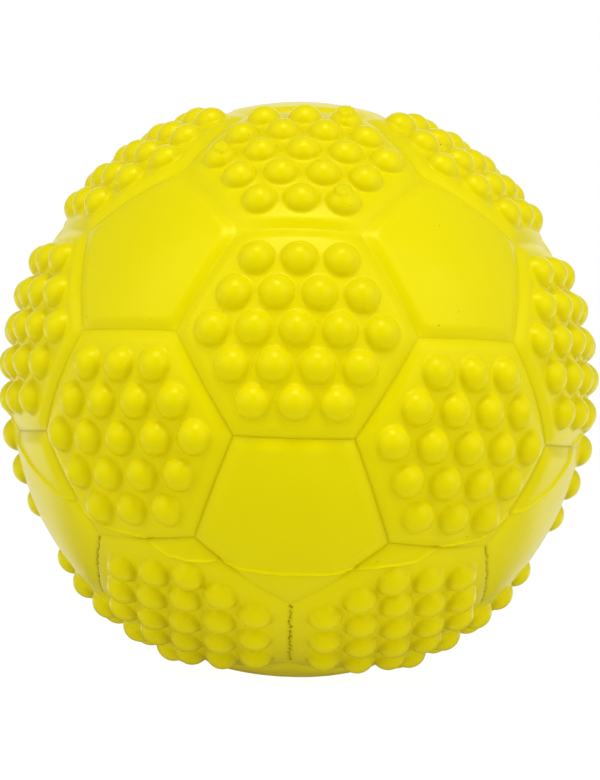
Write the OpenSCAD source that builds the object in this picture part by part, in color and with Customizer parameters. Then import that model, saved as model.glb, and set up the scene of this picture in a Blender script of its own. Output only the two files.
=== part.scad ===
// Inflatable rubber dodgeball: twelve smooth and twenty nubbed cover panels laid up
// on a rubber carcass, over a thread winding and a bladder with a needle valve.
// Origin at the ball's centre, +Z out through the valve, -Y towards the front.

/* [Ball] */
// Diameter over the tips of the nubs
ball_d = 178; // [165:1:216]
// Thickness of a cover panel between its nubs
cover_t = 1.9; // [1.7:0.1:3]
// Thickness of the carcass rubber under the panels
carcass_t = 0.8; // [0.5:0.1:2]
// Thickness of the layer of wound thread
winding_t = 0.5; // [0.3:0.1:1.5]
// Thickness of the bladder's wall
bladder_t = 0.8; // [0.5:0.1:2]

/* [Panel edges] */
// Width of the bevel that runs along each edge of a panel
bevel_w = 3.2; // [2:0.1:4]
// Depth of the groove where the bevels of two panels meet
groove_depth = 1.3; // [0.6:0.1:1.5]
// Width of the moulded parting bead that runs round the ball
bead_w = 1.5; // [0.8:0.1:3]
// Height of the parting bead above the panels
bead_h = 0.5; // [0.3:0.1:0.7]
// Distance of the bead below the plane through the ball's centre
bead_drop = 0.5; // [0:0.1:3.5]
// Radius of the floor of the dimple at each corner of a nubbed panel
dimple_r = 0.3; // [0.2:0.1:0.6]
// Depth of that dimple below the groove
dimple_depth = 0.15; // [0.1:0.05:0.3]

/* [Nubs] */
// Height of a nub above its panel
nub_h = 3.9; // [2.5:0.1:4.8]
// Radius of a nub where it meets its panel
nub_base_r = 5.1; // [4:0.1:5.6]
// Nubs along each side of a nubbed panel's pattern
nubs_per_side = 3; // [2:1:4]
// Distance from a nubbed panel's corner to the middle of its corner nub
nub_corner_gap = 11.2; // [9.5:0.1:13]
// Diameter of the vent mark on three nubs of the front top panel
vent_d = 4.8; // [3:0.1:6]
// Height of a vent mark above the tip of its nub
vent_h = 0.4; // [0.1:0.05:0.6]

/* [Valve] */
// Radius of the valve housing where it passes through the ball's wall
valve_r = 4.2; // [3.6:0.1:6]
// Length of the valve housing, from its mouth inwards
valve_len = 12; // [11.5:0.5:16]
// Depth of the valve's mouth below the crown of its panel
valve_recess = 0.4; // [0.2:0.1:0.8]
// Thickness of the housing between its mouth and the sealing plug
valve_roof_t = 2; // [1.5:0.1:2.5]
// Radius of the flange that is bonded inside the bladder
flange_r = 9; // [7:0.5:14]
// Thickness of that flange at its middle
flange_t = 1.6; // [1.2:0.1:2.5]
// Radius of the self-sealing plug
plug_r = 2.6; // [2:0.1:3]
// Length of the self-sealing plug
plug_len = 9; // [7:0.5:9]
// Thickness that the needle's channel leaves at the plug's inner end
plug_floor_t = 1.5; // [1:0.1:3]
// Radius of the channel for the inflating needle
needle_r = 1.1; // [0.9:0.05:1.5]
// Width of the funnel round the needle's channel at the mouth
funnel_w = 0.9; // [0.5:0.1:1.2]
// Depth of that funnel
funnel_depth = 0.6; // [0.3:0.1:1]
// Gap between the valve housing and the layers that it passes through
valve_gap = 0.05; // [0.05:0.05:0.3]

/* [Hidden] */
cover_yellow = "#EFE400";
carcass_tan = "#B89A5E";
thread_white = "#E6E2D6";
butyl_black = "#1E1E1E";
plug_grey = "#5B5B5B";

// How far a cut runs past the face that it opens
overrun = 1;
// How far a bevel runs past the panel's face before its cut turns straight outwards
lip_overrun = 0.15;
// Flat pieces that stand for a full turn of a large, a middling and a small round
ball_facets = 144;
valve_facets = 64;
nub_facets = 36;

// Radii of the faces between the layers, from the outside in
tip_r = ball_d / 2;
panel_r = tip_r - nub_h;
cover_in_r = panel_r - cover_t;
carcass_in_r = cover_in_r - carcass_t;
winding_in_r = carcass_in_r - winding_t;
bladder_in_r = winding_in_r - bladder_t;

// Angles of the pattern of panels, a truncated icosahedron seen from the ball's centre
full_turn = 360;
half_turn = full_turn / 2;
quarter_turn = full_turn / 4;
pent_sides = 5;
hex_sides = 6;
ring_step = full_turn / pent_sides;
hex_step = full_turn / hex_sides;
pent_polar = atan(2);
near_polar = acos(sqrt((5 + 2 * sqrt(5)) / 15));
far_polar = acos(sqrt((5 - 2 * sqrt(5)) / 15));
hex_edge = acos(sqrt(5) / 3) / 2;
pent_edge = near_polar - hex_edge;
hex_corner = atan(tan(hex_edge) / cos(half_turn / hex_sides));
pent_corner = atan(tan(pent_edge) / cos(half_turn / pent_sides));

// The cut along one edge, in the plane that holds the edge and the ball's centre
cut_r = tip_r + overrun;
groove_r = panel_r - groove_depth;
lip_r = panel_r + lip_overrun;
lip_w = bevel_w * (groove_depth + lip_overrun) / groove_depth;
dimple_floor_r = groove_r - dimple_depth;
dimple_mouth_r = dimple_r + cut_r - dimple_floor_r;

// A nub is the cap of a ball whose middle lies under the panel's face
nub_round_r = (pow(nub_base_r, 2) + pow(nub_h, 2)) / (2 * nub_h);
nub_mid_r = tip_r - nub_round_r;
nub_gap_angle = nub_corner_gap / panel_r * half_turn / PI;
nub_pitch_angle = (hex_corner - nub_gap_angle) / (nubs_per_side - 1);
// Steps along two sides of the pattern, 60 degrees apart, that reach each nub
nub_steps = [
    for (a = [1 - nubs_per_side : nubs_per_side - 1])
        for (b = [1 - nubs_per_side : nubs_per_side - 1])
            if (abs(a + b) < nubs_per_side)
                [a, b]
];
// Every second corner nub of a vented panel has a vent mark
vent_steps = (nubs_per_side - 1) * [[0, 1], [-1, 0], [1, -1]];

// The bead is the cap of a round ring, where the two halves of the mould part
bead_round_r = (pow(bead_w / 2, 2) + pow(bead_h, 2)) / (2 * bead_h);
bead_mid_r = panel_r + bead_h - bead_round_r;
bead_ring_r = sqrt(pow(bead_mid_r, 2) - pow(bead_drop, 2));
bead_drop_angle = asin(bead_drop / bead_mid_r);
parting_polar = near_polar;

// Heights of the valve's faces along +Z
mouth_z = panel_r - valve_recess;
roof_z = mouth_z - valve_roof_t;
housing_base_z = mouth_z - valve_len;
plug_base_z = roof_z - plug_len;
channel_base_z = plug_base_z + plug_floor_t;
flange_z = bladder_in_r - flange_t;

// Direction at an angle from +Z, at an azimuth counted from the front towards +X
function heading(polar, azimuth) =
    [sin(polar) * sin(azimuth), -sin(polar) * cos(azimuth), cos(polar)];

// Whether a panel that reaches out to a corner angle lies across the parting bead
function crosses_bead(polar, azimuth, corner) =
    abs(asin(heading(polar, azimuth) * heading(parting_polar, 0)) + bead_drop_angle) < corner;

// Whether a list holds an entry
function has(list, entry) = len([for (e = list) if (e == entry) e]) > 0;

// Turns +Z to a heading, with +Y towards the top of the ball
module aim(polar, azimuth)
    rotate([polar, 0, azimuth])
        children();

// Everything on the near side of an edge's plane, with the groove's bevel taken off
module edge_side(edge, turn)
    rotate([0, quarter_turn + edge, turn])
        rotate_extrude($fn = ball_facets)
            polygon([
                [0, 0],
                [groove_r, 0],
                [lip_r, -lip_w],
                [cut_r, -lip_w],
                [cut_r, -cut_r],
                [0, -cut_r]
            ]);

// Everything round a corner, except a small dimple where three grooves meet
module corner_side(corner, turn)
    rotate([0, corner, turn])
        rotate_extrude($fn = nub_facets)
            polygon([
                [0, -cut_r],
                [cut_r, -cut_r],
                [cut_r, cut_r],
                [dimple_mouth_r, cut_r],
                [dimple_r, dimple_floor_r],
                [0, dimple_floor_r]
            ]);

module parting_bead()
    aim(parting_polar, 0)
        rotate_extrude($fn = ball_facets)
            translate([bead_ring_r, -bead_drop])
                circle(r = bead_round_r, $fn = nub_facets);

// A panel cut from the ball's skin, with its children raised on it. The corners of a
// six-sided panel have dimples
module cover_panel(sides, edge, corner, first_edge, polar, azimuth)
    intersection() {
        difference() {
            union() {
                sphere(r = panel_r, $fn = ball_facets);
                if (crosses_bead(polar, azimuth, corner))
                    parting_bead();
                aim(polar, azimuth)
                    children();
            }
            sphere(r = cover_in_r, $fn = ball_facets);
        }
        intersection_for (turn = [first_edge : full_turn / sides : first_edge + full_turn - 1])
            aim(polar, azimuth)
                if (sides == hex_sides)
                    intersection() {
                        edge_side(edge, turn);
                        corner_side(corner, turn + half_turn / sides);
                    }
                else
                    edge_side(edge, turn);
    }

module smooth_panel(polar, azimuth, spin = 0)
    color(cover_yellow)
        cover_panel(pent_sides, pent_edge, pent_corner, spin - quarter_turn, polar, azimuth);

// Places its children at the middle of the nub's ball that lies some steps from the
// panel's own axis. They lean with the nub, or stand upright along that axis
module at_nub(steps, upright = false) {
    across = steps[0] + steps[1] * cos(hex_step);
    along = steps[1] * sin(hex_step);
    lean = nub_pitch_angle * norm([across, along]);
    rotate([0, lean, atan2(along, across)])
        translate([0, 0, nub_mid_r])
            rotate([0, upright ? -lean : 0, 0])
                children();
}

module nub()
    sphere(r = nub_round_r, $fn = nub_facets);

// A nub with a low round step on its tip, which points the way that the mould opens
module vented_nub()
    rotate_extrude($fn = nub_facets)
        intersection() {
            union() {
                circle(r = nub_round_r, $fn = nub_facets);
                square([vent_d / 2, nub_round_r + vent_h]);
            }
            translate([0, -nub_round_r])
                square([nub_round_r, nub_round_r * 2 + vent_h]);
        }

module nub_panel(polar, azimuth, vented = false)
    color(cover_yellow)
        cover_panel(hex_sides, hex_edge, hex_corner, hex_step / 2, polar, azimuth)
            for (steps = nub_steps)
                if (vented && has(vent_steps, steps))
                    at_nub(steps, upright = true)
                        vented_nub();
                else
                    at_nub(steps)
                        nub();

// The hole that the valve housing passes through
module valve_hole()
    translate([0, 0, housing_base_z])
        cylinder(r = valve_r + valve_gap, h = valve_len + valve_recess + overrun, $fn = valve_facets);

module smooth_panel_top()
    difference() {
        smooth_panel(0, 0);
        color(cover_yellow)
            valve_hole();
    }

// A closed layer between two radii, pierced for the valve
module layer(out_r, in_r)
    difference() {
        sphere(r = out_r, $fn = ball_facets);
        sphere(r = in_r, $fn = ball_facets);
        valve_hole();
    }

// Half of the carcass: the far side of the parting plane is cut away
module carcass_half(side)
    color(carcass_tan)
        difference() {
            layer(cover_in_r, carcass_in_r);
            aim(parting_polar + side, 0)
                cylinder(r = cut_r, h = cut_r, $fn = ball_facets);
        }

module thread_winding()
    color(thread_white)
        layer(carcass_in_r, winding_in_r);

module bladder()
    color(butyl_black)
        layer(winding_in_r, bladder_in_r);

module valve_housing()
    color(butyl_black)
        difference() {
            union() {
                translate([0, 0, housing_base_z])
                    cylinder(r = valve_r, h = valve_len, $fn = valve_facets);
                intersection() {
                    translate([0, 0, flange_z])
                        cylinder(r = flange_r, h = flange_t + overrun, $fn = valve_facets);
                    sphere(r = bladder_in_r, $fn = ball_facets);
                }
            }
            translate([0, 0, housing_base_z - overrun])
                cylinder(r = plug_r, h = roof_z - housing_base_z + overrun, $fn = valve_facets);
            cylinder(r = needle_r, h = cut_r, $fn = valve_facets);
            translate([0, 0, mouth_z - funnel_depth])
                cylinder(r1 = needle_r, r2 = needle_r + funnel_w, h = funnel_depth, $fn = valve_facets);
        }

module valve_plug()
    color(plug_grey)
        difference() {
            translate([0, 0, plug_base_z])
                cylinder(r = plug_r, h = plug_len, $fn = valve_facets);
            translate([0, 0, channel_base_z])
                cylinder(r = needle_r, h = plug_len, $fn = valve_facets);
        }

smooth_panel_top();
smooth_panel(half_turn, 0);  // smooth_panel_bottom
for (i = [1 : pent_sides]) {
    even = ring_step * (i - 1);
    odd = even + ring_step / 2;
    smooth_panel(pent_polar, odd);
    smooth_panel(half_turn - pent_polar, even, half_turn);
    nub_panel(near_polar, even, i == 1);
    nub_panel(far_polar, even);
    nub_panel(half_turn - far_polar, odd);
    nub_panel(half_turn - near_polar, odd);
}
carcass_half(half_turn);  // carcass_upper
carcass_half(0);  // carcass_lower
thread_winding();
bladder();
valve_housing();
valve_plug();
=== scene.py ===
"""Yellow moulded rubber dodgeball: cover panels, inner layers and valve.

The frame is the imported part: its origin is the ball's centre, +Z goes out through the
valve and -Y faces the front. Shapes are worked out in millimetres, and a mesh is turned
to metres when it is finished.
"""

import logging
import math
from dataclasses import dataclass
from enum import Enum

import bmesh
import bpy
import numpy as np
from mathutils import Matrix, Vector


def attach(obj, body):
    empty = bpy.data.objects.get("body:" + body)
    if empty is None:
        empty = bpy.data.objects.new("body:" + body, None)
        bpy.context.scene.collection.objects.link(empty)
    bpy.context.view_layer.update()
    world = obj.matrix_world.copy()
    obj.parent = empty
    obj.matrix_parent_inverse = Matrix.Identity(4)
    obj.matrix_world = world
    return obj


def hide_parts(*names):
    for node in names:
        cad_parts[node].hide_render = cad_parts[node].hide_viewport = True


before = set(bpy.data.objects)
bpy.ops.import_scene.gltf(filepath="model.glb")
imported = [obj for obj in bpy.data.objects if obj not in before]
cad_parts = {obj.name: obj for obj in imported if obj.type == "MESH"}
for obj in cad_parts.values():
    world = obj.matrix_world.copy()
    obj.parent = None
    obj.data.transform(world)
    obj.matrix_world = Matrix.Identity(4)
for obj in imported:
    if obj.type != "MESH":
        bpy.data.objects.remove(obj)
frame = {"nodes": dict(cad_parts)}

Array = np.ndarray
Tree = bpy.types.NodeTree
Socket = bpy.types.NodeSocket
Value = float | Socket
Colour = tuple[float, float, float, float]
Edges = list[bmesh.types.BMEdge]

LOG = logging.getLogger("dodgeball")
METRES = 0.001
ROOT_BODY = "root"

# Stands in for a length of nought before a division
TINY = 1e-9

# Angles of the pattern of panels, a truncated icosahedron seen from the ball's centre
PENT_SIDES = 5
HEX_SIDES = 6
PENT_POLAR = math.atan(2)
NEAR_POLAR = math.acos(math.sqrt((5 + 2 * math.sqrt(5)) / 15))
FAR_POLAR = math.acos(math.sqrt((5 - 2 * math.sqrt(5)) / 15))
HEX_EDGE = math.acos(math.sqrt(5) / 3) / 2
PENT_EDGE = NEAR_POLAR - HEX_EDGE
RING_STEP = math.tau / PENT_SIDES


def linear(hex_colour: str) -> Colour:
    """Turns an sRGB hex colour to linear values.

    Args:
        hex_colour: Six hex digits, with or without a leading #.

    Returns:
        Linear red, green and blue, and an alpha of 1.
    """
    digits = hex_colour.lstrip("#")
    parts = [int(digits[i : i + 2], 16) / 255 for i in (0, 2, 4)]
    red, green, blue = (
        c / 12.92 if c <= 0.04045 else ((c + 0.055) / 1.055) ** 2.4 for c in parts
    )
    return red, green, blue, 1.0


def add_node(
    tree: Tree, kind: str, inputs: dict | None = None, **settings: object
) -> bpy.types.Node:
    """Adds a node with its settings, and fills or links its inputs.

    Args:
        tree: Node tree that the node goes into.
        kind: Blender's name for the kind of node.
        inputs: Value or output socket for each input, by its name or number.
        settings: Properties of the node.

    Returns:
        The new node.
    """
    node = tree.nodes.new(kind)
    for name, value in settings.items():
        setattr(node, name, value)
    for name, value in (inputs or {}).items():
        if isinstance(value, Socket):
            tree.links.new(value, node.inputs[name])
        else:
            node.inputs[name].default_value = value
    return node


def calculate(tree: Tree, operation: str, first: Value, second: Value) -> Socket:
    """Works out a number from two others, or from their sockets."""
    inputs = {0: first, 1: second}
    return add_node(tree, "ShaderNodeMath", inputs, operation=operation).outputs[0]


def blend(
    tree: Tree, share: Value, first: Colour | Socket, second: Colour | Socket
) -> Socket:
    """Mixes two colours: a share of 0 gives the first, and 1 the second."""
    inputs = {0: share, 6: first, 7: second}
    return add_node(tree, "ShaderNodeMix", inputs, data_type="RGBA").outputs[2]


def noise(tree: Tree, place: Socket, size_mm: float, detail: float = 2.0) -> Socket:
    """Adds clouds from 0 to 1, with more fine ones the higher the detail."""
    inputs = {"Vector": place, "Scale": 1 / (size_mm * METRES), "Detail": detail}
    return add_node(tree, "ShaderNodeTexNoise", inputs).outputs["Fac"]


def bump(
    tree: Tree,
    height: Socket,
    depth_mm: float,
    strength: float,
    normal: Socket | None = None,
) -> Socket:
    """Turns a pattern's heights to a finely uneven surface.

    Args:
        tree: Node tree that the node goes into.
        height: Socket of the pattern, from 0 to 1.
        depth_mm: Depth of the pattern in millimetres.
        strength: Share of the pattern that is felt.
        normal: Normal that the pattern is laid on, for one on top of another.

    Returns:
        The socket of the normal.
    """
    inputs = {"Height": height, "Strength": strength, "Distance": depth_mm * METRES}
    if normal:
        inputs["Normal"] = normal
    return add_node(tree, "ShaderNodeBump", inputs).outputs["Normal"]


def empty_tree(owner: bpy.types.Material | bpy.types.World) -> Tree:
    """Gives a material or the world a node tree with nothing in it.

    Args:
        owner: The material or world.

    Returns:
        The node tree.
    """
    owner.use_nodes = True
    owner.node_tree.nodes.clear()
    return owner.node_tree


def ramp(
    tree: Tree,
    value: Socket,
    start: tuple[float, float],
    end: tuple[Value, Value],
) -> Socket:
    """Maps a value from one range to another.

    Args:
        tree: Node tree that the node goes into.
        value: Socket of the value.
        start: The range that the value covers.
        end: The results at the two ends of it, as numbers or sockets.

    Returns:
        The socket of the result.
    """
    names = ("From Min", "From Max", "To Min", "To Max")
    inputs = {"Value": value} | dict(zip(names, start + end))
    return add_node(tree, "ShaderNodeMapRange", inputs).outputs[0]


def by_ray(tree: Tree, values: dict[str, Value]) -> Value:
    """Gives each kind of ray its own value.

    Args:
        tree: Node tree that the nodes go into.
        values: Number or socket for each kind of ray, by its name on Light Path.

    Returns:
        The value for the ray at hand.
    """
    rays = add_node(tree, "ShaderNodeLightPath").outputs
    total = 0.0
    for kind, value in values.items():
        part = calculate(tree, "MULTIPLY", rays[kind], value)
        total = calculate(tree, "MAXIMUM", total, part)
    return total


def smooth_step(values: Array) -> Array:
    """Eases values from 0 to 1, flat at both ends."""
    t = np.clip(values, 0.0, 1.0)
    return t * t * (3 - 2 * t)


def unit(vectors: Array) -> Array:
    """Scales rows of vectors to length 1."""
    return vectors / np.linalg.norm(vectors, axis=-1, keepdims=True)


def aim(polar: float, azimuth: float) -> Array:
    """Works out a panel's turn from +Z, with the azimuth from the front towards +X."""
    turn = Matrix.Rotation(azimuth, 3, "Z") @ Matrix.Rotation(polar, 3, "X")
    return np.array(turn)


def sharpen(edges: Edges) -> None:
    """Marks edges as sharp, so that the shading doesn't run round them."""
    for edge in edges:
        edge.smooth = False


# The mould's two halves part in the plane square to the middle of the front top panel
PARTING_NORMAL = aim(NEAR_POLAR, 0.0)[:, 2]


@dataclass(frozen=True)
class Unevenness:
    """Smooth random relief made of waves in space, the same on each run."""

    seed: int
    longest: float
    shortest: float
    terms: int = 14

    def __call__(self, points: Array) -> Array:
        """Works out heights of about -1 to 1.

        Args:
            points: Points as rows, in millimetres.

        Returns:
            One height a point.
        """
        draw = np.random.default_rng(self.seed)
        lengths = np.geomspace(self.longest, self.shortest, self.terms)
        total = np.zeros(len(points))
        for length in lengths:
            direction = unit(draw.normal(size=3))
            phase = draw.uniform(0, math.tau)
            total += np.sin(points @ direction * math.tau / length + phase)
        return total / math.sqrt(self.terms / 2) / 2


@dataclass(frozen=True)
class Blank:
    """A panel as a flat blank, in the plane that touches a ball of radius 1.

    Its inner face lies below its outer face, and becomes the inside of the cover.
    """

    sides: int
    edge: float
    cuts: int
    inner_rings: tuple[float, ...] = (0.8, 0.6, 0.4, 0.2)
    hole_level: float = 0.0
    drop: float = 0.05

    @property
    def rim(self) -> float:
        """Distance of a corner from the middle of the blank."""
        return math.tan(self.edge) / math.cos(math.pi / self.sides)

    @property
    def edge_turns(self) -> Array:
        """Directions of the middles of the edges, with a corner of a pentagon at +Y."""
        first = -math.pi / 2 if self.sides == PENT_SIDES else math.pi / self.sides
        return first + np.arange(self.sides) * math.tau / self.sides

    @property
    def edge_ways(self) -> Array:
        """Directions of the edges' middles in the blank's plane, as rows."""
        return np.stack([np.cos(self.edge_turns), np.sin(self.edge_turns)], axis=1)

    def level(self, flat: Array) -> Array:
        """Works out how far out points lie, from 0 at the middle to 1 at the edges."""
        return (flat[:, :2] @ self.edge_ways.T).max(axis=1) / math.tan(self.edge)

    def _drop_ring(self, bm: bmesh.types.BMesh, ring: Edges, scale: float) -> Edges:
        """Extrudes a ring of edges and brings its copy to the inner face.

        Args:
            bm: Mesh that is built.
            ring: Edges to extrude.
            scale: Size of the copy next to the ring.

        Returns:
            The edges of the copy.
        """
        made = bmesh.ops.extrude_edge_only(bm, edges=ring)["geom"]
        verts = [g for g in made if isinstance(g, bmesh.types.BMVert)]
        bmesh.ops.scale(bm, vec=(scale, scale, 1), verts=verts)
        for vert in verts:
            vert.co.z = -self.drop
        return [g for g in made if isinstance(g, bmesh.types.BMEdge) and g.is_boundary]

    def _draw_face(self, bm: bmesh.types.BMesh) -> None:
        """Draws the outer face, finely divided and with its hole.

        Args:
            bm: Mesh that is built.
        """
        bmesh.ops.create_circle(bm, cap_ends=True, segments=self.sides, radius=self.rim)
        if self.sides == HEX_SIDES:
            turn = Matrix.Rotation(math.pi / HEX_SIDES, 3, "Z")
            bmesh.ops.rotate(bm, cent=(0, 0, 0), matrix=turn, verts=bm.verts[:])
        bmesh.ops.poke(bm, faces=bm.faces[:])
        bmesh.ops.subdivide_edges(
            bm, edges=bm.edges[:], cuts=self.cuts, use_grid_fill=True
        )
        if self.hole_level:
            centres = np.array([face.calc_center_median() for face in bm.faces])
            inside = self.level(centres) < self.hole_level
            faces = [face for face, gone in zip(bm.faces, inside) if gone]
            bmesh.ops.delete(bm, geom=faces, context="FACES")

    def build(self) -> bpy.types.Mesh:
        """Makes the blank's mesh.

        Returns:
            A closed mesh with sharp edges where the outer face ends.
        """
        bm = bmesh.new()
        self._draw_face(bm)
        borders = [edge for edge in bm.edges if edge.is_boundary]
        sharpen(borders)
        middle = self.rim * math.cos(math.pi / self.sides) / 2
        rim = [edge for edge in borders if edge.verts[0].co.xy.length > middle]
        hole = [edge for edge in borders if edge.verts[0].co.xy.length <= middle]
        ring = self._drop_ring(bm, rim, 1.0)
        sharpen(ring)
        last = 1.0
        for size in self.inner_rings:
            ring = self._drop_ring(bm, ring, size / last)
            last = size
        if hole:
            mouth = self._drop_ring(bm, hole, 1.0)
            sharpen(mouth)
            bmesh.ops.bridge_loops(bm, edges=ring + mouth)
        else:
            closing = self._drop_ring(bm, ring, 0.0)
            verts = list({vert for edge in closing for vert in edge.verts})
            bmesh.ops.pointmerge(bm, verts=verts, merge_co=(0, 0, -self.drop))
        bmesh.ops.recalc_face_normals(bm, faces=bm.faces[:])
        bmesh.ops.triangulate(bm, faces=bm.faces[:])
        for face in bm.faces:
            face.smooth = True
        mesh = bpy.data.meshes.new("blank")
        bm.to_mesh(mesh)
        bm.free()
        return mesh


@dataclass(frozen=True)
class NubProfile:
    """The outline of a nub from its tip to the panel round it, in millimetres."""

    panel_r: float = 85.1
    height: float = 3.9
    base_r: float = 5.1
    reach: float = 6.1
    fillet: float = 1.0
    fillet_weight: float = 3.0
    cap_samples: int = 400
    foot_samples: int = 100

    @property
    def round_r(self) -> float:
        """Radius of the ball that a nub is the cap of."""
        return (self.base_r**2 + self.height**2) / (2 * self.height)

    @property
    def middle(self) -> float:
        """Height of that ball's middle above the middle of the dodgeball."""
        return self.panel_r + self.height - self.round_r

    def _outline(self) -> tuple[Array, Array]:
        """Draws the outline from the tip outwards.

        Returns:
            Points as rows of distance from the axis and height, and how closely the
            mesh divides the outline at each.
        """
        round_r, middle = self.round_r, self.middle
        outer, inner = self.panel_r + self.fillet, round_r + self.fillet
        up = (outer**2 - inner**2 + middle**2) / (2 * middle)
        out = math.sqrt(outer**2 - up**2)
        lean = math.atan2(out, up - middle)
        cap = np.linspace(0, lean, self.cap_samples)
        points = [np.stack([round_r * np.sin(cap), middle + round_r * np.cos(cap)], 1)]
        spread = math.atan2(out, up)
        foot = np.linspace(lean + math.pi, math.pi + spread, self.foot_samples)
        foot = np.stack([out + self.fillet * np.sin(foot), up + self.fillet * np.cos(foot)], 1)
        points.append(foot)
        flat = np.linspace(spread, self.reach / self.panel_r, self.foot_samples)
        points.append(self.panel_r * np.stack([np.sin(flat), np.cos(flat)], 1))
        weights = np.repeat([1.0, self.fillet_weight, 1.0], [len(p) for p in points])
        return np.concatenate(points), weights

    def lay(self, distances: Array) -> tuple[Array, Array]:
        """Spreads the points round a nub evenly along its outline.

        Args:
            distances: Distance of each point from the nub's middle on the bare panel.

        Returns:
            Distance from the nub's axis and height above the ball's centre.
        """
        outline, weights = self._outline()
        steps = np.linalg.norm(np.diff(outline, axis=0), axis=1) * weights[1:]
        travelled = np.concatenate([[0.0], np.cumsum(steps)])
        along = distances / self.reach * travelled[-1]
        return (
            np.interp(along, travelled, outline[:, 0]),
            np.interp(along, travelled, outline[:, 1]),
        )


@dataclass(frozen=True)
class Vent:
    """The low round step that a vent of the mould leaves on a nub, in millimetres."""

    radius: float = 2.4
    height: float = 0.4
    snap: float = 0.3
    foot_w: float = 0.05

    def raise_step(self, away: Array, nub_r: float) -> Array:
        """Raises the step out of a nub.

        Args:
            away: Points from the middle of the nub's ball, with Z along the vent.
            nub_r: Radius of that ball.

        Returns:
            The moved points.
        """
        spread = np.hypot(away[:, 0], away[:, 1])
        above = away[:, 2] > 0
        on_step = above & (spread < self.radius)
        at_rim = on_step & (spread > self.radius - self.snap)
        at_foot = above & ~on_step & (spread < self.radius + self.snap)
        foot_r = self.radius + self.foot_w
        wanted = np.where(at_rim, self.radius, np.where(at_foot, foot_r, spread))
        moved = away.copy()
        moved[:, :2] *= (wanted / np.maximum(spread, TINY))[:, None]
        moved[on_step, 2] = nub_r + self.height
        moved[at_foot, 2] = math.sqrt(nub_r**2 - foot_r**2)
        return moved


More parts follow.
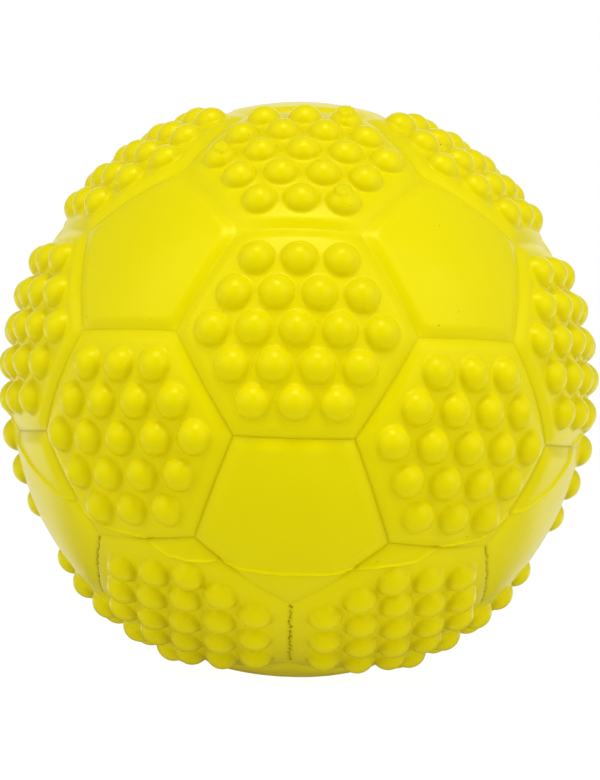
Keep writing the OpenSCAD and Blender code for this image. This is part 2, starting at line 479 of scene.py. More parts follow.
@dataclass(frozen=True)
class Relief:
    """The relief that the mould gives every panel, in millimetres.

    The bead is the thin fin that the two halves of the mould leave between them. Its
    ridge has a long upper side and a steep lower one, with a shallow dent below it.
    """

    panel_r: float = 85.1
    inner_r: float = 83.2
    bevel_w: float = 3.2
    groove_depth: float = 1.3
    shoulder: float = 0.32
    valley_sharp: float = 0.04
    valley_soft: float = 0.13
    below_wider_share: float = 0.35
    below_flatter_share: float = 0.4
    below_fade: float = 4.0
    mitre: float = 0.9
    mitre_start: float = 0.4
    mitre_reach: float = 60.0
    corner_fade: float = 2.0
    bead_above: float = 0.5
    bead_below: float = 0.28
    bead_h: float = 0.8
    bead_reach: float = 3.0
    bead_squeeze: float = 0.72
    bead_fade: float = 0.6
    lip_depth: float = 0.1
    lip_drop: float = 0.7
    lip_w: float = 0.3
    notch_depth: float = 0.2
    notch_w: float = 0.35
    crisp_z: float = -14.0
    crisp_fade: float = 50.0
    edge_reach: float = 3.0
    edge_squeeze: float = 0.62
    lump_h: float = 0.09
    ripple_h: float = 0.015
    lumps: Unevenness = Unevenness(11, 55.0, 14.0)
    ripples: Unevenness = Unevenness(12, 9.0, 2.6)
    # Height, number round the ball and start of the small waves in the bead's line
    bead_waves: tuple[tuple[float, float, float], ...] = ((0.1, 41, 0.0), (0.06, 97, 1.0))
    # Degrees round the parting axis from the front, and height of the bead there
    bead_path: tuple[tuple[float, float], ...] = (
        (-180, -0.9), (-160, -1.6), (-140, 0.2), (-120, -0.8), (-100, -1.7), (-84, -2.3),
        (-70, -2.6), (-61, -2.1), (-52, -1.2), (-47, 0.9), (-45, -0.8), (-40, -0.8),
        (-36, -0.2), (-30, 1.0), (-27, -0.3), (-23.5, -1.6), (-19.5, -1.2), (-13.5, 0.3),
        (-11, -0.8), (-6, -1.2), (9, -1.4), (17, -0.6), (20, -1.2), (23.5, -1.4),
        (27, -0.4), (30.5, 0.2), (34.5, -0.6), (38.5, -1.8), (41.5, -0.3), (43.5, 0.9),
        (46.5, 0.5), (50, -0.2), (60.5, -1.4), (66, -0.6), (71, 0.7), (90, 0.4),
        (110, -0.9), (130, 0.3), (150, -1.3), (165, -0.2), (180, -0.9),
    )  # fmt: skip

    def bead_line(self, points: Array) -> Array:
        """Works out how far the bead strays from the parting plane.

        Args:
            points: World directions as rows.

        Returns:
            Distance towards the top, in millimetres.
        """
        side = np.array([1.0, 0.0, 0.0])
        front = np.cross(side, PARTING_NORMAL)
        turn = np.arctan2(points @ side, points @ front)
        turns, heights = np.array(self.bead_path).T
        waves = sum(h * np.sin(n * turn + start) for h, n, start in self.bead_waves)
        return np.interp(np.degrees(turn), turns, heights) + waves

    def from_parting(self, directions: Array) -> Array:
        """Distance of directions above the bead's line, in millimetres."""
        rise = np.arcsin(np.clip(directions @ PARTING_NORMAL, -1, 1)) * self.panel_r
        return rise - self.bead_line(directions)

    def gather_at_bead(self, directions: Array, from_edge: Array) -> Array:
        """Draws points towards the bead's line, so that it is finely divided.

        Args:
            directions: World directions as rows.
            from_edge: Distance of each from the panel's nearest edge.

        Returns:
            The moved directions.
        """
        rise = self.from_parting(directions)
        near = np.clip(1 - (rise / self.bead_reach) ** 2, 0, 1) ** 2
        pull = -rise * self.bead_squeeze * near * smooth_step(from_edge / self.edge_reach)
        towards = PARTING_NORMAL - (directions @ PARTING_NORMAL)[:, None] * directions
        return unit(directions + unit(towards) * np.tan(pull / self.panel_r)[:, None])

    def gather_at_edges(self, directions: Array, edges: Array, normals: Array) -> Array:
        """Draws points towards their nearest edge, so that the groove is finely divided.

        Args:
            directions: Directions in the blank's frame as rows.
            edges: Distance of each from every edge.
            normals: Inward normals of the edges' planes as rows.

        Returns:
            The moved directions.
        """
        first, second = np.sort(edges, axis=1)[:, :2].T
        near = np.clip(1 - first / self.edge_reach, 0, 1) ** 2
        clear = smooth_step((second - first) / self.corner_fade)
        pull = -first * self.edge_squeeze * near * clear
        way = normals[edges.argmin(axis=1)]
        return unit(directions + way * np.tan(pull / self.panel_r)[:, None])

    def bead(self, rise: Array, from_edge: Array) -> Array:
        """Works out the height of the bead and of the dent along its lower side.

        Args:
            rise: Distance of each point above the bead's line.
            from_edge: Distance of each from the panel's nearest edge.

        Returns:
            Heights above the panel's face.
        """
        width = np.where(rise > 0, self.bead_above, self.bead_below)
        ridge = self.bead_h * np.exp(-((rise / width) ** 2))
        lip = self.lip_depth * np.exp(-(((rise + self.lip_drop) / self.lip_w) ** 2))
        return (ridge - lip) * smooth_step(from_edge / self.bead_fade)

    def from_edge(self, edges: Array) -> tuple[Array, Array]:
        """Works out the distance from the nearest edge, and rounds it at the corners.

        Args:
            edges: Distance of each point from every edge, as rows.

        Returns:
            The plain distance, and the one that goes round the corners in a curve.
        """
        soft, start = self.mitre, self.mitre_start
        nearest = np.maximum(edges.min(axis=1), 0)
        near = np.clip(edges, 0, self.mitre_reach)
        curved = -soft * np.log(np.exp(-near / soft).sum(axis=1))
        curved = np.minimum(nearest, np.maximum(curved, start))
        return nearest, np.where(nearest < start, nearest, curved)

    def uneven(self, points: Array, from_edge: Array) -> Array:
        """Works out the slight unevenness of the panels, zero at their edges."""
        heights = self.lump_h * self.lumps(points) + self.ripple_h * self.ripples(points)
        return heights * smooth_step(from_edge / self.corner_fade)

    def crispness(self, world: Array, below: Array) -> Array:
        """Works out how sharp the grooves are, from 0 to 1, the most just above the bead."""
        height = world[:, 2] * self.panel_r
        return (1 - smooth_step((height - self.crisp_z) / self.crisp_fade)) * (1 - below)

    def groove(self, from_edge: Array, below: Array, crisp: Array) -> Array:
        """Works out the height of a rolled edge, from the groove up to the panel.

        Args:
            from_edge: Distance from the edge.
            below: Share by which each point lies below the bead.
            crisp: How sharp the groove's bottom is.

        Returns:
            Height below the panel's face, zero or negative.
        """
        fall = 1 - from_edge / (self.bevel_w * (1 + self.below_wider_share * below))
        eased = np.clip(fall + self.shoulder, 0, 2 * self.shoulder) ** 2 / (4 * self.shoulder)
        slope = np.where(fall > self.shoulder, fall, eased)
        valley = self.valley_sharp + self.valley_soft * (1 - crisp)
        slope -= np.clip(fall - 1 + valley, 0, valley) ** 2 / (2 * valley)
        notch = crisp * self.notch_depth * np.clip(1 - from_edge / self.notch_w, 0, 1)
        return -self.groove_depth * (1 - self.below_flatter_share * below) * slope - notch


@dataclass(frozen=True)
class OpenJoint:
    """How two panels meet where their rubber didn't flow together, in millimetres.

    Such joints run up and down in the lower half, square to the parting bead.
    """

    half_gap: float = 0.075
    reach: float = 1.8
    end_fade: float = 1.6
    crumble: float = 0.35
    winding: float = 0.5
    steepest: float = 0.93
    gap_spread: float = 0.9
    gap_least: float = 0.03
    torn_w: float = 0.9
    wander: Unevenness = Unevenness(13, 4.0, 1.0, 16)
    tear: Unevenness = Unevenness(14, 2.4, 0.9)

    def is_open(self, middle: Array, normal: Array) -> bool:
        """Tells whether an edge stands open.

        Args:
            middle: Direction of the edge's middle.
            normal: Normal of the plane that holds the edge and the ball's centre.

        Returns:
            Whether the edge runs steeply up the lower half.
        """
        up = unit(PARTING_NORMAL - (PARTING_NORMAL @ middle) * middle)
        run = np.cross(normal, middle)
        return bool(middle @ PARTING_NORMAL < 0 and abs(run @ up) > self.steepest)

    def part(
        self,
        world: Array,
        middle: Array,
        normal: Array,
        panel_r: float,
        half_edge: float,
    ) -> tuple[Array, Array]:
        """Draws a panel's points back from an open edge.

        Args:
            world: World directions as rows.
            middle: Direction of the edge's middle.
            normal: Inward normal of the edge's plane.
            panel_r: Radius of the panels.
            half_edge: Half the edge's length.

        Returns:
            The moved directions, and how torn the surface is at each.
        """
        away = np.arcsin(np.clip(world @ normal, -1, 1)) * panel_r
        along = np.arcsin(np.clip(world @ np.cross(normal, middle), -1, 1)) * panel_r
        ends = smooth_step((half_edge - np.abs(along)) / self.end_fade)
        near = np.clip(1 - np.abs(away) / self.reach, 0, 1) ** 2 * ends
        # The same wander moves both panels the same way, so that the crack winds
        side = 1.0 if tuple(normal) > (0.0, 0.0, 0.0) else -1.0
        foot = unit(world - normal * (world @ normal)[:, None]) * panel_r
        gap = np.maximum(self.half_gap * (1 + self.gap_spread * self.tear(foot)), self.gap_least)
        shift = (gap + side * self.winding * self.wander(foot)) * near
        moved = unit(world + normal * np.tan(shift / panel_r)[:, None])
        torn = np.clip(1 - np.abs(away) / self.torn_w, 0, 1) * ends
        return moved, torn * (0.5 + 0.5 * self.tear(world * panel_r))


@dataclass(frozen=True)
class PaintedShading:
    """Where shade and light are painted into the cover's colour, in millimetres and as shares.

    Painted shade darkens the grooves, the nubs' feet on their sheltered side and the bead's
    lower side, and a painted highlight lightens the bead's ridge.
    """

    joint_w: float = 0.45
    joint_share: float = 0.15
    joint_crisp_share: float = 0.7
    joint_below_share: float = 0.35
    foot_in: float = 0.3
    foot_w: float = 0.55
    foot_share: float = 0.4
    foot_below_share: float = 0.6
    shadow_side: float = -0.6
    shadow_under: float = -0.8
    shadow_gain: float = 1.4
    side_turn: float = 20.0
    under_drop: float = 0.5
    under_w: float = 0.2
    under_share: float = 0.35
    highlight_rise: float = 0.15
    highlight_w: float = 0.4

    def joint_shade(self, from_edge: Array, below: Array, crisp: Array) -> Array:
        """Works out the painted shade in the grooves, from 0 to 1, the most where they are sharp.
        """
        depth = self.joint_share + self.joint_crisp_share * crisp + self.joint_below_share * below
        return np.exp(-from_edge / self.joint_w) * depth

    def at_foot(self, out: Array, base_r: float, side: Array, x: Array) -> Array:
        """Works out the painted shadow at a nub's foot: on its under side, away from the ball's
        side.

        Args:
            out: Distance of each point from the nub's axis.
            base_r: Radius of the nub at its base.
            side: Directions from the axis to the points, in the ball's frame.
            x: How far to the right each point lies on the ball.

        Returns:
            Shares from 0 to 1.
        """
        # Painted shadow round the foot, on the under side and the side towards the ball's middle,
        # where the lamps reach least
        contact = np.exp(-(((out - base_r + self.foot_in) / self.foot_w) ** 2))
        across = self.shadow_side * np.tanh(x / self.side_turn) * side[:, 0]
        facing = across + self.shadow_under * side[:, 2]
        return contact * np.clip(facing * self.shadow_gain, 0, 1)

    def bead_shade_and_highlight(self, rise: Array, from_edge: Array) -> tuple[Array, Array]:
        """Works out the painted shade along the bead's lower side, and the painted highlight on
        its ridge.

        Args:
            rise: Distance above the bead's line.
            from_edge: Distance from the panel's nearest edge.

        Returns:
            Shares of painted shade for the lower side and of painted highlight for the ridge.
        """
        under = np.exp(-(((rise + self.under_drop) / self.under_w) ** 2))
        ridge = np.exp(-(((rise - self.highlight_rise) / self.highlight_w) ** 2))
        return self.under_share * under, ridge * smooth_step(from_edge)


class PanelKind(Enum):
    """The two kinds of cover panel."""

    SMOOTH = PENT_SIDES
    NUBBED = HEX_SIDES


@dataclass(frozen=True)
class Place:
    """Where one panel sits on the ball."""

    name: str
    kind: PanelKind
    polar: float
    azimuth: float
    spin: float = 0.0
    vented: bool = False
    holed: bool = False


@dataclass
class CoverPanel:
    """One panel of the cover with its rolled edges, nubs and share of the bead."""

    place: Place
    blank: Blank
    source: bpy.types.Mesh
    relief: Relief = Relief()
    open_joint: OpenJoint = OpenJoint()
    nub: NubProfile = NubProfile()
    vent: Vent = Vent()
    painted_shading: PaintedShading = PaintedShading()
    nubs_per_side: int = 3
    nub_corner_gap: float = 11.2
    nub_push: float = 2.4
    nub_clear: float = 5.0
    nub_ease: float = 4.5
    nub_blend: float = 0.8
    hole_r: float = 4.25
    hole_fade: float = 0.45
    # Mean radius of a five-sided outline, as a share of the distance to its edges
    pent_mean: float = 1.1
    # The inner face stays as it is from this many times the hole's level
    hole_border: float = 1.2

    @property
    def turn(self) -> Array:
        """The matrix from the blank's frame to the ball's."""
        spin = np.array(Matrix.Rotation(self.place.spin, 3, "Z"))
        return aim(self.place.polar, self.place.azimuth) @ spin

    def nub_directions(self) -> tuple[Array, Array]:
        """Works out where the nubs stand.

        Returns:
            Directions of the nubs in the blank's frame, and whether each has a vent.
        """
        corner = math.atan(self.blank.rim)
        far = self.nubs_per_side - 1
        pitch = (corner - self.nub_corner_gap / self.relief.panel_r) / far
        vents = {(0, far), (-far, 0), (far, -far)}
        found, vented = [], []
        for a in range(-far, far + 1):
            for b in range(max(-far, -far - a), min(far, far - a) + 1):
                across = a + b * math.cos(math.pi / 3)
                along = b * math.sin(math.pi / 3)
                lean = pitch * math.hypot(across, along)
                way = math.atan2(along, across)
                flat = math.sin(lean)
                found.append((flat * math.cos(way), flat * math.sin(way), math.cos(lean)))
                vented.append(self.place.vented and (a, b) in vents)
        return self.push_from_bead(np.array(found)), np.array(vented)

    def push_from_bead(self, middles: Array) -> Array:
        """Moves the nubs just below the bead down, where the mould sets them clear of it.

        Args:
            middles: Directions of the nubs in the blank's frame.

        Returns:
            The moved directions.
        """
        up = PARTING_NORMAL @ self.turn
        drop = -np.arcsin(np.clip(middles @ up, -1, 1)) * self.relief.panel_r
        fade = np.exp(-np.maximum(drop - self.nub_clear, 0) / self.nub_ease)
        push = self.nub_push * fade * (drop > 0) / self.relief.panel_r
        away = (middles @ up)[:, None] * middles - up
        length = np.maximum(np.linalg.norm(away, axis=1), TINY)
        return unit(middles + away * (np.tan(push) / length)[:, None])

    def round_hole(self, flat: Array) -> Array:
        """Turns the hole for the valve from five-sided to round.

        Args:
            flat: Points of the blank.

        Returns:
            The moved points.
        """
        level = self.blank.level(flat)
        start, end = self.blank.hole_level, self.hole_fade
        share = np.clip((level - start) / (end - start), 0, 1)
        lip = self.hole_r / self.relief.panel_r
        wide = end * math.tan(self.blank.edge) * self.pent_mean
        spread = np.linalg.norm(flat[:, :2], axis=1)
        wanted = (lip + share * (wide - lip)) * (1 - smooth_step(share))
        scale = (wanted + spread * smooth_step(share)) / np.maximum(spread, TINY)
        inside = flat[:, 2] < -self.blank.drop / 2
        scale = np.where(inside & (level > start * self.hole_border), 1.0, scale)
        moved = flat.copy()
        moved[:, :2] *= scale[:, None]
        return moved

    @property
    def edge_normals(self) -> Array:
        """Inward normals of the planes through the edges, as rows in the blank's frame."""
        ways, lean = self.blank.edge_ways, self.blank.edge
        return np.column_stack([-math.cos(lean) * ways, np.full(len(ways), math.sin(lean))])

    @property
    def edge_middles(self) -> Array:
        """Directions of the middles of the edges, as rows in the blank's frame."""
        ways, lean = self.blank.edge_ways, self.blank.edge
        return np.column_stack([math.sin(lean) * ways, np.full(len(ways), math.cos(lean))])

    def edge_distances(self, directions: Array) -> Array:
        """Distance of directions in the blank's frame from each edge, in millimetres."""
        sines = np.clip(directions @ self.edge_normals.T, -1, 1)
        return np.arcsin(sines) * self.relief.panel_r

    def open_edges(self, world: Array) -> tuple[Array, Array]:
        """Draws the panel back from each joint that stands open.

        Args:
            world: World directions as rows.

        Returns:
            The moved directions, and how torn the surface is at each.
        """
        torn = np.zeros(len(world))
        panel_r = self.relief.panel_r
        corner = math.acos(math.cos(math.atan(self.blank.rim)) / math.cos(self.blank.edge))
        middles, normals = self.edge_middles @ self.turn.T, self.edge_normals @ self.turn.T
        for middle, normal in zip(middles, normals):
            if self.open_joint.is_open(middle, normal):
                world, rough = self.open_joint.part(
                    world, middle, normal, panel_r, corner * panel_r
                )
                torn = np.maximum(torn, rough)
        return world, torn

    def spread(self, bare: Array, inside: Array) -> Array:
        """Gathers the blank's points where the relief is fine.

        Args:
            bare: Directions in the blank's frame.
            inside: Whether each point belongs to the inner face, which stays as it is.

        Returns:
            World directions.
        """
        relief, turn = self.relief, self.turn
        local = relief.gather_at_edges(bare, self.edge_distances(bare), self.edge_normals)
        nearest = np.maximum(self.edge_distances(local).min(axis=1), 0)
        world = relief.gather_at_bead(local @ turn.T, nearest)
        return np.where(inside[:, None], bare @ turn.T, world)

    def shape(self) -> tuple[Array, dict[str, Array]]:
        """Works out where every point of the panel lies.

        Returns:
            Points in the ball's frame in millimetres, and shares of painted shade and highlight
            for the colour.
        """
        relief, painted_shading = self.relief, self.painted_shading
        flat = np.empty(len(self.source.vertices) * 3)
        self.source.vertices.foreach_get("co", flat)
        flat = flat.reshape(-1, 3)
        if self.place.holed:
            flat = self.round_hole(flat)
        inside = flat[:, 2] < -self.blank.drop / 2
        bare = unit(np.column_stack([flat[:, :2], np.ones(len(flat))]))
        world = self.spread(bare, inside)
        local = world @ self.turn
        parted, torn = self.open_edges(world)
        nearest, rounded = relief.from_edge(self.edge_distances(local))
        rise = relief.from_parting(world)
        below = smooth_step(-rise / relief.below_fade)
        crisp = relief.crispness(world, below)
        height = relief.groove(rounded, below, crisp)
        height -= self.open_joint.crumble * np.maximum(torn, 0)
        points = parted * relief.panel_r
        foot = np.zeros(len(points))
        bead = relief.bead(rise, nearest)
        if self.place.kind is PanelKind.NUBBED:
            points, foot, on_nub = self.raise_nubs(local, points)
            bead *= 1 - on_nub
        points += world * (height + bead + relief.uneven(points, nearest))[:, None]
        points = np.where(inside[:, None], parted * relief.inner_r, points)
        # Painted shade under the bead, a painted highlight on its ridge, and painted shade at the
        # nubs' feet, in the grooves and on the torn edges
        under, ridge = painted_shading.bead_shade_and_highlight(rise, nearest)
        values = {
            "foot": foot * (painted_shading.foot_share + painted_shading.foot_below_share * below),
            "under": under,
            "ridge": ridge,
            "tear": np.clip(torn, 0, 1),
        }
        values = {name: np.where(inside, 0.0, value) for name, value in values.items()}
        # The inner face gets the full painted shade, so that no bright slit shows in an open
        # joint
        values["joint"] = np.where(inside, 1.0, painted_shading.joint_shade(nearest, below, crisp))
        return points, values

    def raise_nubs(self, local: Array, points: Array) -> tuple[Array, Array, Array]:
        """Raises the nubs out of the bare panel.

        Args:
            local: Directions in the blank's frame.
            points: Points of the bare panel in the ball's frame.

        Returns:
            The raised points, the painted shadow at the foot of each nub, and how far
            each point lies on one.
        """
        middles, vented = self.nub_directions()
        profile, turn = self.nub, self.turn
        cosines = np.clip(local @ middles.T, -1, 1)
        mine = cosines.argmax(axis=1)
        away = np.arccos(cosines[np.arange(len(local)), mine]) * self.relief.panel_r
        chosen = away < profile.reach
        out, up = profile.lay(away[chosen])
        axis = middles[mine[chosen]]
        side = local[chosen] - cosines[chosen, mine[chosen]][:, None] * axis
        side /= np.maximum(np.linalg.norm(side, axis=1), TINY)[:, None]
        place = axis * up[:, None] + side * out[:, None]
        stepped = axis * profile.middle
        stepped += self.vent.raise_step(place - stepped, profile.round_r)
        place = np.where(vented[mine[chosen]][:, None], stepped, place)
        raised = points.copy()
        raised[chosen] = place @ turn.T
        foot = np.zeros(len(local))
        # Painted shadow at the nubs' feet
        foot[chosen] = self.painted_shading.at_foot(out, profile.base_r, side @ turn.T, raised[chosen, 0])
        on_nub = smooth_step((profile.reach - away) / self.nub_blend)
        return raised, foot, on_nub

    def build(self) -> bpy.types.Object:
        """Makes the panel's piece and puts it in the place of its node.

        Returns:
            The new object.
        """
        mesh = self.source.copy()
        mesh.name = f"cover_{self.place.name}"
        points, values = self.shape()
        mesh.vertices.foreach_set("co", (points * METRES).ravel())
        for name, value in values.items():
            layer = mesh.attributes.new(name, "FLOAT", "POINT")
            layer.data.foreach_set("value", value.astype(np.float32))
        mesh.update()
        piece = bpy.data.objects.new(f"cover_{self.place.name}", mesh)
        bpy.context.scene.collection.objects.link(piece)
        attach(piece, ROOT_BODY)
        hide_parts(self.place.name)
        return piece


@dataclass(frozen=True)
class CoverRubber:
    """Natural rubber with a yellow pigment, compression moulded in steel.

    The eye gets a clean satin yellow with soft highlights, since the mould's face is
    matt. The skin that cures against the mould gives the small brighter spots on the
    nubs. The compound shows slight clouds and dark specks of grit, and pulling the ball
    out leaves faint upright marks. Painted shade darkens the grooves, the nubs' feet,
    the bead's lower side and the torn edges of the open joints, and a painted highlight
    lightens the bead's ridge.
    """

    name: str = "natural_rubber_compression_moulded"
    bright: str = "#F4E600"
    # Painted shade for the grooves, the nubs' feet and the bead's lower side
    cloud: str = "#EBDD00"
    shade: str = "#B8A900"
    # Painted shade for the torn edges of the open joints
    crack: str = "#8F8400"
    # Painted highlight for the bead's ridge
    painted_ridge_highlight: str = "#FFF200"
    grit: str = "#6E6400"
    gloss: str = "#FFF400"
    shade_share: float = 0.5
    crack_share: float = 0.6
    painted_ridge_highlight_share: float = 0.9
    roughness: float = 0.35
    ior: float = 1.48
    coat: float = 0.2
    coat_roughness: float = 0.24
    coat_ior: float = 1.35
    cloud_mm: float = 34.0
    cloud_detail: float = 3.0
    # The grain of the mould's steel is finer than this, and is drawn so coarse to show
    grain_mm: float = 0.55
    grain_depth_mm: float = 0.02
    mark_mm: float = 0.9
    mark_stretch: float = 0.08
    mark_depth_mm: float = 0.03
    bump_strength: float = 0.5
    speck_mm: float = 5.0
    speck_from: float = 0.55
    speck_share: float = 0.045

    def colour(self, tree: Tree, place: Socket) -> Socket:
        """Lays the colours over each other: clouds, painted shade, painted shade on torn edges, a
        painted highlight on the ridge, and specks.

        Args:
            tree: The material's node tree.
            place: Socket of the place on the ball, in metres.

        Returns:
            The socket of the colour.
        """
        painted_marks = {
            name: add_node(tree, "ShaderNodeAttribute", attribute_name=name).outputs["Fac"]
            for name in ("joint", "foot", "under", "ridge", "tear")
        }
        clouds = noise(tree, place, self.cloud_mm, self.cloud_detail)
        colour = blend(tree, clouds, linear(self.bright), linear(self.cloud))
        painted_shade = calculate(tree, "MAXIMUM", painted_marks["joint"], painted_marks["foot"])
        painted_shade = calculate(tree, "MAXIMUM", painted_shade, painted_marks["under"])
        # Painted shade, painted shade on the torn edges, a painted highlight on the ridge, then
        # the real specks of grit
        layers = (
            (painted_shade, self.shade_share, self.shade),
            (painted_marks["tear"], self.crack_share, self.crack),
            (painted_marks["ridge"], self.painted_ridge_highlight_share, self.painted_ridge_highlight),
            (self.specks(tree, place), 1.0, self.grit),
        )
        for where, most, hue in layers:
            share = calculate(tree, "MULTIPLY", where, most)
            colour = blend(tree, share, colour, linear(hue))
        return colour

    def specks(self, tree: Tree, place: Socket) -> Socket:
        """Strews specks of grit of mixed sizes.

        Args:
            tree: The material's node tree.
            place: Socket of the place on the ball, in metres.

        Returns:
            The socket of a number that is 1 on a speck and 0 elsewhere.
        """
        cells = {"Vector": place, "Scale": 1 / (self.speck_mm * METRES)}
        cells = add_node(tree, "ShaderNodeTexVoronoi", cells).outputs
        chosen = add_node(tree, "ShaderNodeSeparateColor", {"Color": cells["Color"]})
        chosen = chosen.outputs["Red"]
        size = ramp(tree, chosen, (self.speck_from, 1.0), (0.0, self.speck_share))
        return calculate(tree, "LESS_THAN", cells["Distance"], size)

    def build(self) -> bpy.types.Material:
        """Makes the material.

        Returns:
            The new material.
        """
        material = bpy.data.materials.new(self.name)
        tree = empty_tree(material)
        place = add_node(tree, "ShaderNodeTexCoord").outputs["Object"]
        stretch = {"Vector": place, "Scale": (1.0, 1.0, self.mark_stretch)}
        upright = add_node(tree, "ShaderNodeMapping", stretch).outputs[0]
        grain = noise(tree, place, self.grain_mm)
        marks = noise(tree, upright, self.mark_mm)
        normal = bump(tree, grain, self.grain_depth_mm, self.bump_strength)
        normal = bump(tree, marks, self.mark_depth_mm, self.bump_strength, normal)
        shader = add_node(
            tree,
            "ShaderNodeBsdfPrincipled",
            {
                "Base Color": self.colour(tree, place),
                "Roughness": self.roughness,
                "IOR": self.ior,
                "Specular Tint": linear(self.gloss),
                "Coat Weight": self.coat,
                "Coat Roughness": self.coat_roughness,
                "Coat IOR": self.coat_ior,
                "Normal": normal,
            },
        )
        add_node(tree, "ShaderNodeOutputMaterial", {"Surface": shader.outputs["BSDF"]})
        return material


@dataclass
class Cover:
    """The thirty-two cover panels."""

    hex_cuts: int = 76
    vent_cuts: int = 110
    pent_cuts: int = 56
    hole_cells: int = 9
    finish: CoverRubber = CoverRubber()

    def places(self) -> list[Place]:
        """Lists where the panels sit, under the names of their nodes.

        Returns:
            One place a panel.
        """
        smooth, nubbed = PanelKind.SMOOTH, PanelKind.NUBBED
        found = [
            Place("smooth_panel_top", smooth, 0.0, 0.0, holed=True),
            Place("smooth_panel_bottom", smooth, math.pi, 0.0),
        ]
        for i in range(PENT_SIDES):
            even, odd = RING_STEP * i, RING_STEP * (i + 0.5)
            found += [
                Place(f"smooth_panel_upper_{i + 1}", smooth, PENT_POLAR, odd),
                Place(
                    f"smooth_panel_lower_{i + 1}", smooth, math.pi - PENT_POLAR, even, math.pi
                ),
                Place(f"nub_panel_top_{i + 1}", nubbed, NEAR_POLAR, even, vented=i == 0),
                Place(f"nub_panel_upper_{i + 1}", nubbed, FAR_POLAR, even),
                Place(f"nub_panel_lower_{i + 1}", nubbed, math.pi - FAR_POLAR, odd),
                Place(f"nub_panel_bottom_{i + 1}", nubbed, math.pi - NEAR_POLAR, odd),
            ]
        return found

    def build(self) -> None:
        """Makes every panel and gives it the cover's finish."""
        finish = self.finish.build()
        made: dict[Blank, bpy.types.Mesh] = {}
        for place in self.places():
            if place.kind is PanelKind.NUBBED:
                cuts = self.vent_cuts if place.vented else self.hex_cuts
                blank = Blank(HEX_SIDES, HEX_EDGE, cuts)
            else:
                hole = self.hole_cells / (self.pent_cuts + 1) if place.holed else 0.0
                blank = Blank(PENT_SIDES, PENT_EDGE, self.pent_cuts, hole_level=hole)
            if blank not in made:
                made[blank] = blank.build()
            piece = CoverPanel(place, blank, made[blank]).build()
            piece.data.materials.append(finish)
            LOG.info("%s: %d faces", piece.name, len(piece.data.polygons))


class Pattern(Enum):
    """What the surface of an inner piece shows."""

    GRAIN = "grain"
    THREADS = "threads"


@dataclass(frozen=True)
class InnerFinish:
    """The finish of a piece under the cover."""

    name: str
    nodes: tuple[str, ...]
    dark: str
    pale: str
    roughness: float
    pattern: Pattern
    scale_mm: float
    depth_mm: float
    bump_strength: float = 0.6
    grain_detail: float = 4.0
    thread_sway: float = 3.0

    def build(self) -> bpy.types.Material:
        """Makes the material.

        Returns:
            The new material.
        """
        material = bpy.data.materials.new(self.name)
        tree = empty_tree(material)
        place = add_node(tree, "ShaderNodeTexCoord").outputs["Object"]
        if self.pattern is Pattern.THREADS:
            scale = 1 / (self.scale_mm * METRES) / math.tau
            lines = {"Vector": place, "Scale": scale, "Distortion": self.thread_sway}
            lines = add_node(tree, "ShaderNodeTexWave", lines, bands_direction="DIAGONAL")
            height = lines.outputs["Fac"]
        else:
            height = noise(tree, place, self.scale_mm, self.grain_detail)
        shader = add_node(
            tree,
            "ShaderNodeBsdfPrincipled",
            {
                "Base Color": blend(tree, height, linear(self.dark), linear(self.pale)),
                "Roughness": self.roughness,
                "Normal": bump(tree, height, self.depth_mm, self.bump_strength),
            },
        )
        add_node(tree, "ShaderNodeOutputMaterial", {"Surface": shader.outputs["BSDF"]})
        return material

    def dress(self, nodes: dict[str, bpy.types.Object]) -> None:
        """Gives the finish to its nodes.

        Args:
            nodes: The frame's objects by name.
        """
        material = self.build()
        for name in self.nodes:
            nodes[name].data.materials.clear()
            nodes[name].data.materials.append(material)
            LOG.info("%s: %s", name, self.name)


INNER_FINISHES = (
    # Rubber sheet, calendered: matt tan with the fine grain of the rolls
    InnerFinish(
        name="carcass_rubber_calendered",
        nodes=("carcass_upper", "carcass_lower"),
        dark="#A88A50",
        pale="#C2A468",
        roughness=0.7,
        pattern=Pattern.GRAIN,
        scale_mm=1.2,
        depth_mm=0.05,
    ),
    # Nylon thread, wound and dipped in latex: pale lines with a dull gloss. Real thread
    # lies closer than this, and is drawn so coarse to show
    InnerFinish(
        name="nylon_thread_wound",
        nodes=("thread_winding",),
        dark="#B8B2A0",
        pale="#EDE9DC",
        roughness=0.6,
        pattern=Pattern.THREADS,
        scale_mm=0.9,
        depth_mm=0.2,
    ),
    # Butyl rubber, moulded and dusted: near black with a faint bloom
    InnerFinish(
        name="butyl_rubber_moulded",
        nodes=("bladder", "valve_housing"),
        dark="#161616",
        pale="#2B2B2A",
        roughness=0.5,
        pattern=Pattern.GRAIN,
        scale_mm=2.0,
        depth_mm=0.02,
    ),
    # Soft self-sealing rubber, cut from an extruded rod: dull grey, finely grained
    InnerFinish(
        name="valve_plug_rubber_extruded",
        nodes=("valve_plug",),
        dark="#505050",
        pale="#686868",
        roughness=0.65,
        pattern=Pattern.GRAIN,
        scale_mm=0.6,
        depth_mm=0.03,
    ),
)


@dataclass(frozen=True)
class Lamp:
    """A soft lamp that looks at the ball's centre, in degrees, metres and watts."""

    name: str
    azimuth: float
    elevation: float
    distance: float
    size: float
    power: float

    def build(self) -> None:
        """Makes the lamp."""
        data = bpy.data.lights.new(self.name, "AREA")
        data.shape = "DISK"
        data.size = self.size
        data.energy = self.power
        lamp = bpy.data.objects.new(self.name, data)
        bpy.context.scene.collection.objects.link(lamp)
        turn, rise = math.radians(self.azimuth), math.radians(self.elevation)
        flat = math.cos(rise)
        back = Vector((math.sin(turn) * flat, -math.cos(turn) * flat, math.sin(rise)))
        lamp.location = back * self.distance
        lamp.rotation_euler = (-back).to_track_quat("-Z", "Y").to_euler()


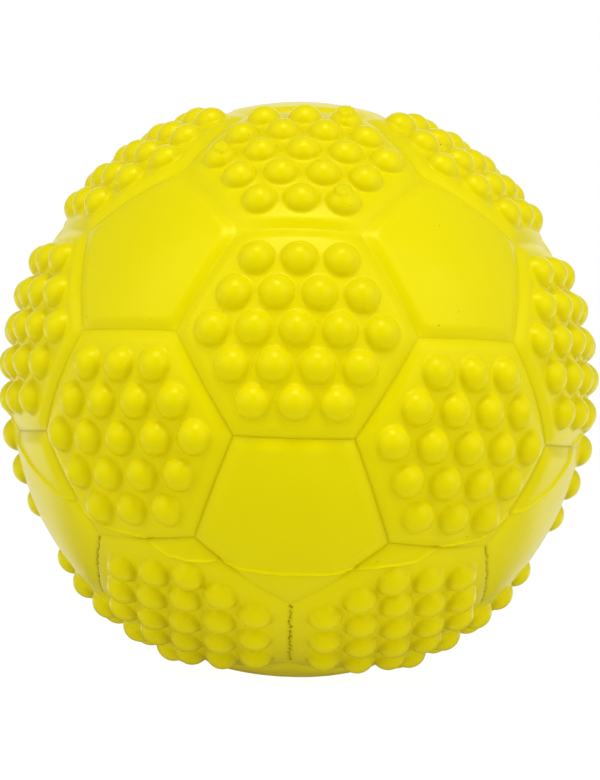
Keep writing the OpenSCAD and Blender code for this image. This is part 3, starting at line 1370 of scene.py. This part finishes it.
@dataclass
class Studio:
    """The camera, lamps, floor and white surroundings of the picture.

    The ball mirrors white only from behind it, so that its sides have a pale sheen. The
    camera's side is dark in its reflections and dim in the light that falls on it.
    """

    image_w: int = 600
    image_h: int = 780
    sensor_mm: float = 36.0
    distance: float = 1.3
    clip: tuple[float, float] = (0.05, 50.0)
    focal_px: float = 4383.4
    offset_px: tuple[float, float] = (-1.3, -0.4)
    # The ball's X, Y and Z axes as the camera sees them: right, up and towards it
    axes: tuple[tuple[float, float, float], ...] = (
        (0.99952, -0.02882, 0.01167),
        (0.0113, -0.01301, -0.99985),
        (0.02897, 0.9995, -0.01267),
    )
    white: str = "#FFFFFF"
    paint: str = "#EDEDED"
    floor_z: float = -0.0851
    floor_size: float = 40.0
    floor_glow: float = 1.12
    floor_share: float = 0.86
    floor_gloss: float = 0.05
    floor_gloss_fade: tuple[float, float] = (0.05, 0.1)
    floor_bounce: float = 0.5
    front_gloss: float = 0.02
    gloss_fade: tuple[float, float] = (0.66, 0.88)
    front_light: float = 0.2
    front_fade: tuple[float, float] = (-0.7, 0.0)
    left_light: float = 1.25
    right_light: float = 1.4
    side_fade: tuple[float, float] = (-0.6, 0.6)
    above_share: float = 0.3
    above_fade: tuple[float, float] = (0.15, 0.7)
    lamps: tuple[Lamp, ...] = (
        Lamp("soft_box_above", azimuth=0.0, elevation=64.0, distance=1.3, size=0.6, power=5.7),
        Lamp("soft_box_left", azimuth=-45.0, elevation=28.0, distance=1.3, size=1.3, power=4.5),
        Lamp("soft_box_right", azimuth=45.0, elevation=28.0, distance=1.3, size=1.3, power=5.4),
    )

    def make_camera(self) -> None:
        """Sets up the camera as the photograph's."""
        data = bpy.data.cameras.new("camera")
        long_side = max(self.image_w, self.image_h)
        data.sensor_width = self.sensor_mm
        data.lens = self.focal_px / long_side * self.sensor_mm
        data.shift_x = -self.offset_px[0] / long_side
        data.shift_y = self.offset_px[1] / long_side
        data.clip_start, data.clip_end = self.clip
        camera = bpy.data.objects.new("camera", data)
        bpy.context.scene.collection.objects.link(camera)
        turn = Matrix(self.axes).to_4x4()
        right = Vector(turn.col[0][:3]).normalized()
        back = Vector(turn.col[2][:3]).normalized()
        up = back.cross(right).normalized()
        right = up.cross(back)
        matrix = Matrix((right, up, back)).transposed().to_4x4()
        matrix.translation = back * self.distance
        camera.matrix_world = matrix
        bpy.context.scene.camera = camera

    def make_floor(self) -> None:
        """Makes the pale floor, which keeps the ball's shadow."""
        bm = bmesh.new()
        bmesh.ops.create_grid(bm, x_segments=1, y_segments=1, size=self.floor_size / 2)
        bmesh.ops.translate(bm, vec=(0, 0, self.floor_z), verts=bm.verts[:])
        mesh = bpy.data.meshes.new("floor")
        bm.to_mesh(mesh)
        bm.free()
        floor = bpy.data.objects.new("floor", mesh)
        bpy.context.scene.collection.objects.link(floor)
        # Board with matt white paint: even and pale, with a soft shadow
        material = bpy.data.materials.new("painted_board")
        tree = empty_tree(material)
        share = by_ray(
            tree,
            {
                "Is Camera Ray": self.floor_share,
                "Is Glossy Ray": 1.0,
                "Is Transmission Ray": 1.0,
                "Is Diffuse Ray": self.floor_bounce,
            },
        )
        place = add_node(tree, "ShaderNodeTexCoord").outputs["Object"]
        place = add_node(tree, "ShaderNodeSeparateXYZ", {0: place}).outputs
        # In reflections the floor is white only behind the ball
        gloss = ramp(tree, place["Y"], self.floor_gloss_fade, (self.floor_gloss, 1.0))
        strength = by_ray(
            tree,
            {
                "Is Camera Ray": self.floor_glow,
                "Is Glossy Ray": gloss,
                "Is Transmission Ray": 1.0,
                "Is Diffuse Ray": 1.0,
            },
        )
        paint = {"Color": linear(self.paint)}
        paint = add_node(tree, "ShaderNodeBsdfDiffuse", paint).outputs[0]
        glow = {"Color": linear(self.white), "Strength": strength}
        glow = add_node(tree, "ShaderNodeEmission", glow).outputs[0]
        mix = add_node(tree, "ShaderNodeMixShader", {0: share, 1: paint, 2: glow})
        add_node(tree, "ShaderNodeOutputMaterial", {"Surface": mix.outputs[0]})
        mesh.materials.append(material)

    def make_surroundings(self) -> None:
        """Makes the white surroundings, which rays of each kind see in their own way."""
        world = bpy.data.worlds.new("surroundings")
        bpy.context.scene.world = world
        tree = empty_tree(world)
        way = add_node(tree, "ShaderNodeTexCoord").outputs["Generated"]
        way = add_node(tree, "ShaderNodeSeparateXYZ", {0: way}).outputs
        behind = ramp(tree, way["Y"], self.gloss_fade, (self.front_gloss, 1.0))
        side = ramp(tree, way["X"], self.side_fade, (self.left_light, self.right_light))
        around = ramp(tree, way["Y"], self.front_fade, (self.front_light, side))
        above = ramp(tree, way["Z"], self.above_fade, (1.0, self.above_share))
        strength = by_ray(
            tree,
            {
                "Is Camera Ray": 1.0,
                "Is Transmission Ray": 1.0,
                "Is Glossy Ray": behind,
                "Is Diffuse Ray": calculate(tree, "MULTIPLY", around, above),
            },
        )
        glow = {"Color": linear(self.white), "Strength": strength}
        glow = add_node(tree, "ShaderNodeBackground", glow).outputs[0]
        add_node(tree, "ShaderNodeOutputWorld", {"Surface": glow})

    def build(self) -> None:
        """Makes the whole studio."""
        self.make_camera()
        self.make_floor()
        self.make_surroundings()
        for lamp in self.lamps:
            lamp.build()
        bpy.context.scene.view_settings.view_transform = "Standard"


def main() -> None:
    """Builds the ball and the studio."""
    logging.basicConfig(level=logging.INFO, format="%(message)s")
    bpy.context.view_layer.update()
    Studio().build()
    Cover().build()
    for finish in INNER_FINISHES:
        finish.dress(frame["nodes"])


if __name__ == "__main__":
    main()
